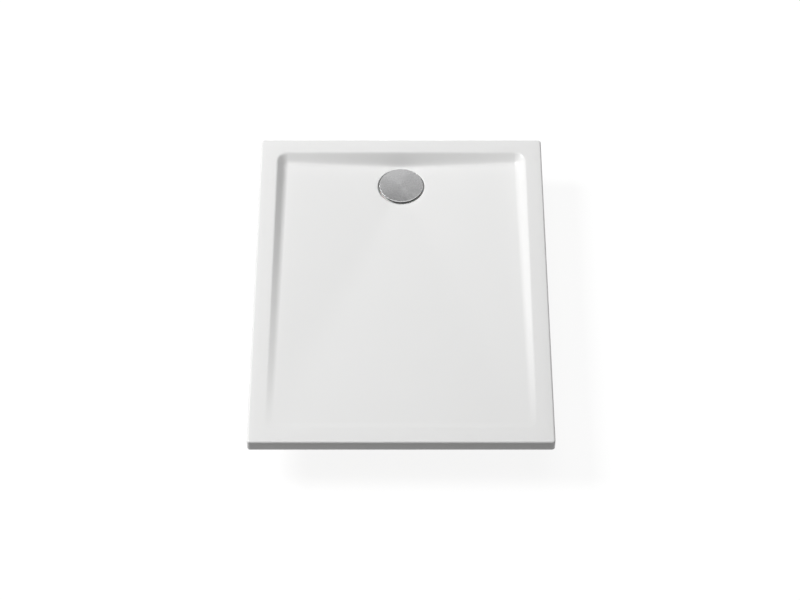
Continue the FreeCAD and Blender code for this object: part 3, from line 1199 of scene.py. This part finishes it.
@dataclass
class TrayMoulding:
    """The acrylic sheet: rim, skirt, basin and the pocket of the waste, as one closed skin."""

    basin: Basin
    finish: Material

    def edge_rings(self) -> list:
        """Rings of the outer face, from the foot of the skirt over its edge to the rim.

        Returns:
            The rings.
        """
        basin, sizes, points = self.basin, self.basin.sizes, self.basin.points
        trim, edge = sizes.trim_radius, sizes.edge_radius
        section = [(trim * (1 - s), trim * (1 - c) - sizes.skirt) for c, s in quarter(points.trim)]
        section.append((0.0, -sizes.skirt / 2))
        section += [(edge * (1 - c), edge * (s - 1)) for c, s in quarter(points.rounding)]
        rings = []
        for inset, level in section:
            rings.append(basin.raised(basin.box_line(inset, sizes.plan_radius - inset), level))
        return rings + [basin.raised(basin.wall_line(share), 0.0) for share in points.rim]

    def face_rings(self, drop: float) -> list:
        """Rings of the walls and the floor, from the rim to the pocket.

        Args:
            drop: How far they lie below the upper face.

        Returns:
            The rings.
        """
        basin, points = self.basin, self.basin.points
        lines = [basin.wall_line(share) for share in basin.runs()]
        foot, lip = basin.foot_line(), basin.about_waste(self.lip_radius(drop))
        for k in range(1, points.floor):
            lines.append(foot + (lip - foot) * (k / points.floor) ** points.floor_power)
        return [basin.raised(line, basin.height(line) - drop) for line in lines]

    def lip_radius(self, drop: float) -> np.ndarray:
        """Radius at which the floor turns down into the pocket, inside the foot of the walls.

        Args:
            drop: How far the face lies below the upper one.

        Returns:
            The radius at each point of the foot line.
        """
        wall, inside = self.basin.sizes.pocket_radius + drop, 0.999
        away = self.basin.from_waste(self.basin.foot_line())[1][:, 0] * inside
        return np.maximum(np.minimum(wall + self.basin.sizes.pocket_fillet, away), wall + MERGE)

    def pocket_rings(self, drop: float) -> list:
        """Rings from the lip of the pocket down to its floor and in to the bore.

        Args:
            drop: How far they lie below the upper face.

        Returns:
            The rings.
        """
        basin, sizes, steps = self.basin, self.basin.sizes, self.basin.points.pocket
        wall, depth = sizes.pocket_radius + drop, -sizes.pocket_depth - drop
        lip, fillet, bore = self.lip_radius(drop), sizes.pocket_fillet, sizes.waste_bore
        level, ease = basin.height(basin.about_waste(lip)) - drop, lip - wall
        chamfer = sizes.bore_chamfer
        section = [(lip - ease * s, level - ease * (1 - c)) for c, s in quarter(steps)]
        section += [(wall - fillet * (1 - c), depth + fillet * (1 - s)) for c, s in quarter(steps)]
        section.append((bore + chamfer, depth))
        section.append((bore, depth - chamfer if drop == 0 else depth + chamfer))
        return [basin.raised(basin.about_waste(radius), height) for radius, height in section]

    def under_rings(self) -> list:
        """Rings of the underside of the rim and the inside of the skirt.

        Returns:
            The rings.
        """
        basin, sizes = self.basin, self.basin.sizes
        sheet, trim, chamfer = sizes.sheet, sizes.trim_radius, sizes.inner_chamfer
        section = [
            (sheet + chamfer, -sheet),
            (sheet, -sheet - chamfer),
            (sheet, trim - sizes.skirt),
            (sheet - trim, -sizes.skirt),
        ]
        inner = sizes.plan_radius - sheet
        return [basin.raised(basin.box_line(inset, inner), level) for inset, level in section]

    def build(self) -> Object:
        """Make the moulding, which stands for the tray shell.

        Returns:
            The piece.
        """
        sheet = self.basin.sizes.sheet
        top = self.edge_rings() + self.face_rings(0.0) + self.pocket_rings(0.0)
        under = self.face_rings(sheet) + self.pocket_rings(sheet)
        mesh = loft(top + under[::-1] + self.under_rings())
        piece = object_of("tray_moulding", mesh, self.finish)
        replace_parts(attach(piece, "root"), "tray_shell")
        return piece


@dataclass
class FibreSkin:
    """Sprayed glass fibre under the basin, and the resin that beds the battens in it."""

    basin: Basin
    finish: Material
    gap: float = 0.0002
    thickness: float = 0.0023
    hole: float = 0.072
    edge: tuple = (-0.22, -0.1)
    floor_rings: int = 20
    lumps: float = 0.0006
    waves: tuple = ((71, 43, 0.3), (-52, 88, 1.7), (131, 102, 4.1), (190, -160, 2.2))
    bead: float = 0.0045
    bead_wander: float = 0.5
    bead_step: float = 0.005
    bead_drop: float = 0.003
    bead_clear: float = 0.0012
    bead_short: float = 0.004
    bead_points: int = 60

    def clear_of_waste(self, line: Outline) -> Outline:
        """Push the points of an outline out of the hole round the waste."""
        way, length = self.basin.from_waste(line)
        return self.basin.waste + way * np.maximum(1.0, self.hole / np.maximum(length, MERGE))

    def rough(self, line: Outline) -> np.ndarray:
        """Uneven thickness of the skin at points, from -1 to 1."""
        waves = [np.sin(a * line[:, 0] + b * line[:, 1] + c) for a, b, c in self.waves]
        return sum(waves) / len(waves)

    def level(self, line: Outline) -> np.ndarray:
        """Height of the basin's face at points, which is the deck on the rim.

        Args:
            line: The points.

        Returns:
            The height at each point.
        """
        basin = self.basin
        inside = (np.abs(line[:, 0]) <= basin.rim_x) & (np.abs(line[:, 1]) <= basin.rim_y)
        return np.where(inside, basin.height(line), 0.0)

    def build(self) -> Object:
        """Make the skin, which stands for the floor laminate.

        Returns:
            The piece.
        """
        basin, count = self.basin, self.floor_rings
        lines = [basin.wall_line(share) for share in (*self.edge, *basin.runs())]
        foot, hole = basin.foot_line(), basin.about_waste(self.hole)
        lines += [foot + (hole - foot) * k / count for k in range(1, count + 1)]
        upper, lower = [], []
        for line in map(self.clear_of_waste, lines):
            level = self.level(line) - basin.sizes.sheet - self.gap
            swell = self.rough(line) * self.lumps
            upper.append(basin.raised(line, level))
            lower.append(basin.raised(line, level - self.thickness + swell))
        piece = object_of("glass_fibre_skin", loft(upper + lower[::-1]), self.finish)
        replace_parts(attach(piece, "root"), "floor_laminate")
        return piece

    def beds(self, battens: Iterable[str]) -> Object:
        """Make the beads of resin along both faces of the battens.

        Args:
            battens: Names of the battens' nodes.

        Returns:
            The beads, as one piece.
        """
        basin, count, short = self.basin, self.bead_points, self.bead_short
        points, edges = [], []
        for low, high in map(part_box, battens):
            for y in (low.y - self.bead_clear, high.y + self.bead_clear):
                x = np.linspace(low.x + short, high.x - short, count)
                line = self.clear_of_waste(np.stack([x, np.full(count, y)], axis=1))
                base = len(points)
                level = self.level(line) - basin.sizes.sheet - self.bead_drop
                points += basin.raised(line, level).tolist()
                edges += [(base + k, base + k + 1) for k in range(count - 1)]
        made = bead_recipe(self.finish).run(
            mesh_from("bed_lines", points, edges=edges),
            Radius=self.bead,
            Wander=self.bead_wander,
            Step=self.bead_step,
        )
        piece = object_of("resin_beds", tidied(made), self.finish)
        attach(piece, "root")
        return piece


# --- timber, rails and feet ---------------------------------------------------------------------
def named(*words: str) -> list:
    """Names of the nodes that hold one of the words, in order."""
    return [node for node in sorted(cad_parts) if any(word in node for word in words)]


def axis_of(node: str) -> Vector:
    """Point at height 0 on the upright axis through the middle of a node."""
    low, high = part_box(node)
    return Vector(((low.x + high.x) / 2, (low.y + high.y) / 2, 0))


@dataclass
class Timber:
    """Battens under the rim and across the basin, with eased arrises."""

    across: Material
    lengthwise: Material
    arris: float = 0.0012

    def build(self) -> list:
        """Make every batten and stub.

        Returns:
            The pieces.
        """
        pieces = []
        for node in named("batten", "stub"):
            long = node in ("rim_batten_left", "rim_batten_right")
            finish = self.lengthwise if long else self.across
            piece = softened(node, "sawn_" + node, finish, self.arris)
            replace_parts(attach(piece, "root"), node)
            pieces.append(piece)
        return pieces


@dataclass
class Undercarriage:
    """Two galvanised channels with screws, and four feet with threaded spindles."""

    galvanised: Material
    zinc: Material
    nylon: Material
    rail_names: tuple = ("rail_left", "rail_right")
    bend: float = 0.0026
    sheet: float = 0.002
    cut_ease: float = 0.0003
    block_ease: float = 0.0006
    pad_ease: float = 0.0009
    nut_flats: float = 0.017
    nut_play: float = 0.00005
    spindle_radius: float = 0.005
    pitch: float = 0.0015
    thread_depth: float = 0.00085
    thread_overlap: float = 0.0005
    adjuster_top: float = 0.020
    screw_radius: float = 0.0042
    screw_height: float = 0.0026
    recess: tuple = (0.00441, 0.0009, 0.0024)
    screw_offset: float = 0.009
    screw_turn: float = 37.0

    def rails(self) -> list:
        """Make the two channels, with rounded bends.

        Returns:
            The pieces.
        """
        pieces = []
        for node in self.rail_names:
            low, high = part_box(node)

            def bent(edge: bmesh.types.BMEdge) -> bool:
                """Whether an edge is an outer bend of the channel.

                Args:
                    edge: The edge.

                Returns:
                    Whether it is such a bend.
                """
                a, b = (vert.co for vert in edge.verts)
                on_top = min(a.z, b.z) > high.z - MERGE
                side = min(abs(a.x - low.x), abs(a.x - high.x))
                return on_top and side < MERGE and abs(a.x - b.x) < MERGE

            rules = [(bent, self.bend)]
            piece = softened(node, "channel_" + node, self.galvanised, self.cut_ease, 3, rules)
            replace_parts(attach(piece, "root"), node)
            pieces.append(piece)
        return pieces

    def screw(self) -> Object:
        """Make one pan-head screw with a cross recess, head down, about the origin.

        Returns:
            The screw, which the others are copied from.
        """
        radius, tall = self.screw_radius, self.screw_height
        dome = [
            (MERGE, 0.0, 0),
            (radius, 0.0, 0.0002),
            (radius, -tall * 0.45, tall * 0.4),
            (MERGE, -tall, tall * 0.6),
        ]
        head = object_of("screw_head", turned(dome, Vector(), 28, 4), self.zinc)
        for k in range(2):
            bar = block(self.recess, (0, 0, -tall), turn=math.pi / 2 * k)
            modifier = head.modifiers.new("recess", "BOOLEAN")
            modifier.operation, modifier.solver = "DIFFERENCE", "EXACT"
            modifier.object = cutter = object_of("cutter", bar, self.zinc)
            applied(head)
            bpy.data.objects.remove(cutter)
        tidied(head.data)
        return head

    def screws(self) -> Object:
        """Make the screws that hold the rails to the battens.

        Returns:
            All the screws, as one piece.
        """
        places = []
        for node in named("cross_batten", "stub"):
            low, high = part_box(node)
            for rail in self.rail_names:
                x, seat = axis_of(rail).x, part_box(rail)[1].z - self.sheet
                if low.x < x < high.x:
                    for side in (-self.screw_offset, self.screw_offset):
                        places.append((x + side, (low.y + high.y) / 2 - side, seat))
        head = self.screw()
        recipe = copies_recipe("rail_screws", head, self.zinc)
        mesh = recipe.run(mesh_from("points", places), Turn=self.screw_turn)
        bpy.data.objects.remove(head)
        piece = flat_shaded(object_of("rail_screws", mesh, self.zinc))
        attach(piece, "root")
        return piece

    def carriers(self) -> Object:
        """Make the threaded blocks in the rails.

        Returns:
            The four blocks, as one piece.
        """
        piece = softened("foot_carriers", "thread_blocks", self.nylon, self.block_ease)
        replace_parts(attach(piece, "root"), "foot_carriers")
        return piece

    def nuts(self) -> Object:
        """Make the four lock nuts under the rails.

        Returns:
            The four nuts, as one piece.
        """
        low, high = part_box("lock_nuts")
        bore = self.spindle_radius + self.nut_play
        meshes = []
        for node in named("foot_spindle"):
            meshes.append(hexagon(axis_of(node), low.z, high.z, self.nut_flats, bore))
        piece = merged("hexagon_lock_nuts", meshes, self.zinc)
        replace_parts(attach(piece, "root"), "lock_nuts")
        return weighted(piece)

    def feet(self) -> list:
        """Make the spindles and the pads, each on its own body.

        Returns:
            The pieces.
        """
        thread = thread_recipe(self.zinc)
        start = self.adjuster_top - self.thread_overlap
        pieces = []
        for k in range(1, 5):
            low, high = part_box(f"foot_spindle_{k}")
            axis = axis_of(f"foot_spindle_{k}")
            rod = thread.run(
                mesh_from("points", []),
                Radius=self.spindle_radius,
                Pitch=self.pitch,
                Depth=self.thread_depth,
                Foot=start,
                Length=high.z - start,
                X=axis.x,
                Y=axis.y,
            )
            head = hexagon(axis, low.z, self.adjuster_top, self.nut_flats, MERGE)
            spindle = merged(f"threaded_spindle_{k}", [tidied(rod), head], self.zinc)
            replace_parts(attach(weighted(spindle), f"foot_{k}_spindle"), f"foot_spindle_{k}")
            pad = softened(f"foot_pad_{k}", f"moulded_pad_{k}", self.nylon, self.pad_ease, 3)
            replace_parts(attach(pad, f"foot_{k}_pad"), f"foot_pad_{k}")
            pieces += [spindle, pad]
        return pieces

    def build(self) -> list:
        """Make the rails, screws, blocks, nuts and feet."""
        return [*self.rails(), self.screws(), self.carriers(), self.nuts(), *self.feet()]


# --- the waste ----------------------------------------------------------------------------------
@dataclass
class Waste:
    """Cover, cup, flange, washer, trap and union nut, from the top down."""

    chrome: Material
    grey: Material
    white: Material
    rubber: Material
    sealant: Material
    # Black plastic of the cover's legs and of its carrier ring; on the ring it also serves as
    # painted shade for the gap under the plate.
    carrier_and_shade: Material
    bevel: float = 0.0013
    rim: float = 0.0035
    gauge: float = 0.0014
    crown: float = 0.0010
    crown_shares: tuple = (0.25, 0.5, 0.75)
    shade_hoop: tuple = (0.0006, 0.0030)
    # Insets, foot and gap of the dark carrier ring: partly a real carrier, partly painted shade
    # standing for the shadow under the cover's edge.
    shade_hoop_foot: float = 0.0062
    shade_hoop_gap: float = 0.0001
    leg: tuple = (0.008, 0.006)
    leg_place: float = 0.050
    leg_ease: float = 0.0006
    socket: tuple = (0.002, 0.0141, 0.006)
    socket_place: float = 0.00615
    socket_ease: float = 0.0003
    cup_radii: tuple = (0.030, 0.028)
    cup_lip: float = 0.1125
    cup_rim: float = 0.002
    neck_radii: tuple = (0.041, 0.038)
    flange_edge: float = 0.0025
    washer_bore: float = 0.0453
    bowl_radius: float = 0.04405
    clamp: float = 0.004
    outlet_z: float = 0.070
    stub_radii: tuple = (0.02355, 0.02025)
    gussets: int = 16
    gusset: tuple = (0.0438, 0.0545, 0.011, 0.0009)
    gusset_sunk: float = 0.0002
    gusset_toe: float = 0.0012

    def cover(self) -> list:
        """Make the cover: a slightly crowned plate, a dark carrier ring under its edge that doubles
        as painted shade, and its legs.

        Returns:
            The pieces.
        """
        low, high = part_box("waste_cover")
        centre, radius, top = axis_of("waste_cover"), high.x, high.z
        edge, lip, under = top - self.crown, top - self.rim, top - self.gauge
        section = [(MERGE, top, 0)]
        section += [(radius * s, top - self.crown * s**2, 0) for s in self.crown_shares]
        section += [
            (radius - self.bevel, edge, 0.0003),
            (radius, edge - self.bevel, 0.0004),
            (radius, lip, 0.0003),
            (radius - self.gauge, lip, 0.0002),
            (radius - self.gauge, edge - self.gauge - self.bevel, 0.0003),
            (radius - self.gauge - self.bevel, edge - self.gauge, 0.0003),
            (MERGE, under, 0),
        ]
        plate = object_of("cover_plate", turned(section, centre, 180), self.chrome)
        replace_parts(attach(weighted(plate), "cover"), "waste_cover")
        # The carrier ring fills the gap under the plate's edge with black plastic: partly a real
        # carrier, partly painted shade for the shadow in that gap.
        outer, inner = (radius - inset for inset in self.shade_hoop)
        head, foot = lip - self.shade_hoop_gap, top - self.shade_hoop_foot
        section = [
            (outer, head, 0.0002),
            (outer, foot, 0.0004),
            (inner, foot, 0.0004),
            (inner, head, 0.0002),
        ]
        shade_hoop = object_of("cover_carrier", turned(section, centre, 160), self.carrier_and_shade)
        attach(shade_hoop, "cover")
        socket_z = under - self.socket[2] / 2
        meshes = []
        for size, place, ease in (
            ((*self.leg, under - low.z), (self.leg_place, 0.0, (under + low.z) / 2), self.leg_ease),
            (self.socket, (self.socket_place, 0.0, socket_z), self.socket_ease),
        ):
            for k in range(4):
                meshes.append(block(size, place, ease, math.pi / 2 * k, centre))
        legs = weighted(merged("cover_legs", meshes, self.carrier_and_shade))
        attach(legs, "cover")
        return [
            plate,
            shade_hoop,
            legs,
        ]

    def cup(self) -> Object:
        """Make the dip cup with its grid and post.

        Returns:
            The piece.
        """
        low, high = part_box("dip_cup")
        axis, lip = axis_of("dip_cup"), self.cup_lip
        rules = [(ring_at(axis, Axis.Z, low.z, radius), 0.0006) for radius in self.cup_radii]
        rules.append((ring_at(axis, Axis.Z, lip, high.x), 0.0007))
        rules.append((ring_at(axis, Axis.Z, lip - self.cup_rim, high.x), 0.0004))
        piece = softened("dip_cup", "dip_tube", self.grey, 0.0005, 2, rules)
        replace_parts(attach(piece, "cup"), "dip_cup")
        return piece

    def flange(self) -> list:
        """Make the flange and the bead of sealant round it.

        Returns:
            The pieces.
        """
        low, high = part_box("waste_flange")
        axis, radius, seat = axis_of("waste_flange"), high.x, high.z - self.flange_edge
        rules = [(ring_at(axis, Axis.Z, high.z, radius), 0.0010)]
        rules += [(ring_at(axis, Axis.Z, low.z, neck), 0.0006) for neck in self.neck_radii]
        piece = softened("waste_flange", "keyed_flange", self.white, 0, 3, rules)
        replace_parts(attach(piece, "root"), "waste_flange")
        section = [
            (radius - 0.001, seat + 0.00005, 0),
            (radius + 0.0016, seat + 0.00005, 0.0004),
            (radius + 0.0001, seat + 0.0015, 0.0009),
            (radius - 0.001, seat + 0.0012, 0),
        ]
        bead = object_of("sealant_bead", turned(section, axis, 120), self.sealant)
        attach(bead, "root")
        return [piece, bead]

    def washer(self) -> Object:
        """Make the rubber washer.

        Returns:
            The piece.
        """
        low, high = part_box("tray_washer")
        section = [
            (self.washer_bore, high.z, 0.0005),
            (high.x, high.z, 0.0008),
            (high.x, low.z, 0.0008),
            (self.washer_bore, low.z, 0.0005),
        ]
        piece = object_of("seal_washer", turned(section, axis_of("tray_washer")), self.rubber)
        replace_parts(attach(piece, "root"), "tray_washer")
        return piece

    def trap(self) -> list:
        """Make the trap: its body with its outlet, and the gussets under its clamp ring.

        Returns:
            The pieces.
        """
        low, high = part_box("trap_body")
        axis, rim = axis_of("waste_flange"), high.z - self.clamp
        outlet = (axis.x, 0, self.outlet_z)
        rules = [
            (ring_at(axis, Axis.Z, low.z, self.bowl_radius), 0.0026),
            (ring_at(axis, Axis.Z, high.z, high.x), 0.0008),
            (ring_at(axis, Axis.Z, rim, high.x), 0.0010),
            (ring_at(axis, Axis.Z, rim, self.bowl_radius), 0.0015),
            (ring_at(outlet, Axis.Y, high.y, self.stub_radii[0]), 0.0008),
            (ring_at(outlet, Axis.Y, high.y, self.stub_radii[1]), 0.0006),
        ]
        piece = softened("trap_body", "trap_moulding", self.white, 0.0004, 3, rules)
        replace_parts(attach(piece, "root"), "trap_body")
        rib, step = self.rib(), 2 * math.pi / self.gussets
        points = mesh_from("points", [(0, 0, 0)] * self.gussets)
        mesh = copies_recipe("trap_gussets", rib, self.white).run(points, Step=step, Start=step / 2)
        bpy.data.objects.remove(rib)
        mesh.transform(Matrix.Translation((axis.x, axis.y, rim)))
        gussets = flat_shaded(object_of("trap_gussets", mesh, self.white))
        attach(gussets, "root")
        return [piece, gussets]

    def rib(self) -> Object:
        """Make one three-cornered gusset from the bowl to the clamp ring, at angle 0.

        Returns:
            The gusset, which the others are copied from.
        """
        wall, reach, tall, half = self.gusset
        head, toe = self.gusset_sunk, -self.gusset_toe
        outline = [(wall, head), (reach, head), (reach, toe), (wall, -tall)]
        points = [(x, side, z) for side in (-half, half) for x, z in outline]
        faces = [(3, 2, 1, 0), (4, 5, 6, 7)]
        faces += [(k, (k + 1) % 4, (k + 1) % 4 + 4, k + 4) for k in range(4)]
        return object_of("gusset", tidied(mesh_from("gusset", points, faces)), self.white)

    def nut(self) -> Object:
        """Make the union nut.

        Returns:
            The piece.
        """
        piece = softened("outlet_nut", "union_nut", self.white, 0.0007)
        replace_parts(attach(piece, "root"), "outlet_nut")
        return piece

    def build(self) -> list:
        """Make the whole waste."""
        return [*self.cover(), self.cup(), *self.flange(), self.washer(), *self.trap(), self.nut()]


# --- studio -------------------------------------------------------------------------------------
@dataclass(frozen=True)
class Lamp:
    """A square soft lamp aimed at the tray."""

    name: str
    place: tuple
    size: float
    power: float


@dataclass(frozen=True)
class Studio:
    """Camera, lamps, world, floor and a card that only mirrors see."""

    aim: tuple = (0.0, 0.0, 0.150)
    elevation: float = 51.4
    distance: float = 6.085
    lens: float = 105.75
    shift_pixels: tuple = (-1.1, -16.7)
    clip_end: float = 100.0
    fill: float = 0.06
    paper: tuple = (0.38, 0.16)
    paper_glow: float = 0.90
    floor_half: float = 12.0
    card_half: float = 2.5
    card_low: tuple = (3.6, 1.2)
    card_high: tuple = (1.0, 4.4)
    card_dark: float = 0.05
    card_fade: tuple = (2.38, 3.05)
    lamps: tuple = (
        Lamp("key", (-6.6, 1.35, 7.5), 3.6, 838.0),
        Lamp("top", (0.5, 0.3, 7.2), 5.0, 144.0),
    )

    def hang(self, data: ID, place: Sequence[float], way: Vector) -> Object:
        """Put a camera or a lamp in the scene.

        Args:
            data: The camera or the lamp.
            place: Its place.
            way: Direction in which it looks.

        Returns:
            The new object.
        """
        piece = placed(data.name, data)
        piece.location = place
        piece.rotation_euler = way.to_track_quat("-Z", "Y").to_euler()
        return piece

    def camera(self) -> None:
        """Set the camera at the photograph's viewing angle."""
        data = bpy.data.cameras.new("camera")
        data.lens, data.sensor_width, data.clip_end = self.lens, SENSOR_WIDTH, self.clip_end
        data.shift_x, data.shift_y = (pixels / PHOTO_WIDTH for pixels in self.shift_pixels)
        angle = math.radians(self.elevation)
        back = Vector((0, -math.cos(angle), math.sin(angle)))
        place = Vector(self.aim) + back * self.distance
        bpy.context.scene.camera = self.hang(data, place, -back)

    def light(self) -> None:
        """Hang the lamps."""
        for lamp in self.lamps:
            data = bpy.data.lights.new(lamp.name, "AREA")
            data.shape, data.size, data.energy = "SQUARE", lamp.size, lamp.power
            self.hang(data, lamp.place, Vector(self.aim) - Vector(lamp.place))

    def seen(self, tree: Graph) -> Node:
        """1 for rays from the camera, and for glossy and transmitted ones.

        Args:
            tree: The tree that asks.

        Returns:
            The node with the result.
        """
        rays = tree.add("ShaderNodeLightPath").outputs
        mirrored = tree.math("MAXIMUM", rays["Is Camera Ray"], rays["Is Glossy Ray"])
        return tree.math("MAXIMUM", mirrored, rays["Is Transmission Ray"])

    def world(self) -> None:
        """A soft grey fill that is seen as white."""
        world = bpy.data.worlds.new("studio")
        world.use_nodes = True
        tree = Graph(world.node_tree)
        white = (1, 1, 1, 1)
        grounds = [tree.add("ShaderNodeBackground", white, level) for level in (self.fill, 1.0)]
        mix = tree.add("ShaderNodeMixShader", self.seen(tree), *grounds)
        tree.add("ShaderNodeOutputWorld", Surface=mix)
        bpy.context.scene.world = world

    def stand(self, name: str, corners: Sequence, sheet: Sheet, surface: Number) -> Object:
        """Set up a flat panel of the studio, which isn't part of the object.

        Args:
            name: Its name.
            corners: Its four corners.
            sheet: Its material.
            surface: The shader that is seen.

        Returns:
            The panel.
        """
        sheet.feed(sheet.output.inputs["Surface"], surface)
        piece = object_of(name, mesh_from(name, corners, [(0, 1, 2, 3)]), sheet.material)
        return piece

    def floor(self) -> None:
        """A pale floor that keeps a faint shadow; from below it isn't there."""
        half, sheet = self.floor_half, Sheet("floor_paper")
        lit, seen = (sheet.add("ShaderNodeBsdfDiffuse", (tone,) * 3 + (1,)) for tone in self.paper)
        glow = sheet.add("ShaderNodeEmission", Strength=self.paper_glow)
        both = sheet.add("ShaderNodeAddShader", seen, glow)
        front = sheet.add("ShaderNodeMixShader", self.seen(sheet), lit, both)
        back = sheet.add("ShaderNodeNewGeometry").outputs["Backfacing"]
        clear = sheet.add("ShaderNodeBsdfTransparent")
        sided = sheet.add("ShaderNodeMixShader", back, front, clear)
        corners = [(-half, -half, 0), (half, -half, 0), (half, half, 0), (-half, half, 0)]
        self.stand("studio_floor", corners, sheet, sided)

    def card(self) -> None:
        """A card high behind the tray that only mirrors see: white below, fading to grey."""
        width, low, high = self.card_half, self.card_low, self.card_high
        sheet = Sheet("card_paper")
        height = sheet.add("ShaderNodeSeparateXYZ", sheet.place).outputs["Z"]
        level = sheet.spread(height, 1.0, self.card_dark, *self.card_fade)
        corners = [(-width, *low), (width, *low), (width, *high), (-width, *high)]
        glow = sheet.add("ShaderNodeEmission", Strength=level)
        piece = self.stand("studio_card", corners, sheet, glow)
        piece.visible_camera = piece.visible_diffuse = piece.visible_shadow = False

    def build(self) -> None:
        """Set up the whole studio."""
        self.camera()
        self.light()
        self.world()
        self.floor()
        self.card()
        bpy.context.scene.view_settings.view_transform = "Standard"


def report(pieces: Iterable[Object]) -> None:
    """Log the name and the number of faces of each piece."""
    for piece in pieces:
        LOG.info("%s: %d faces", piece.name, len(piece.data.polygons))


def main() -> None:
    """Build the studio and every sub-assembly."""
    logging.basicConfig(level=logging.INFO, format="%(name)s %(message)s")
    Studio().build()
    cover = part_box("waste_cover")
    waste = (cover[0] + cover[1]) / 2
    basin = Basin(TraySizes(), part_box("tray_shell")[1], waste.y)
    fibre = GlassFibre("glass_fibre").build()
    grey = MouldedPlastic("grey_plastic", (0.36, 0.38, 0.40), (0.35, 0.5)).build()
    white = MouldedPlastic("white_plastic", (0.80, 0.80, 0.78), (0.3, 0.45), bloom=0.02).build()
    black = MouldedPlastic("black_nylon", (0.022, 0.022, 0.024), (0.35, 0.55)).build()
    rubber = MouldedPlastic("black_rubber", (0.018, 0.018, 0.018), (0.6, 0.8), bloom=0.12).build()
    steel = PlatedSteel("galvanised_steel", (0.60, 0.62, 0.64), 0.10, 95.0, (0.28, 0.5)).build()
    zinc = PlatedSteel("zinc_steel", (0.68, 0.67, 0.63), 0.05, 260.0, (0.2, 0.36)).build()
    report([TrayMoulding(basin, GlossAcrylic("white_acrylic").build()).build()])
    skin = FibreSkin(basin, fibre)
    report([skin.build(), skin.beds(named("cross_batten", "stub"))])
    across = SawnTimber("timber_across", Axis.X).build()
    lengthwise = SawnTimber("timber_lengthwise", Axis.Y).build()
    report(Timber(across, lengthwise).build())
    report(Undercarriage(steel, zinc, black).build())
    chrome = SatinChrome("chrome", tuple(waste)).build()
    sealant = Silicone("sealant").build()
    report(Waste(chrome, grey, white, rubber, sealant, black).build())


if __name__ == "__main__":
    main()
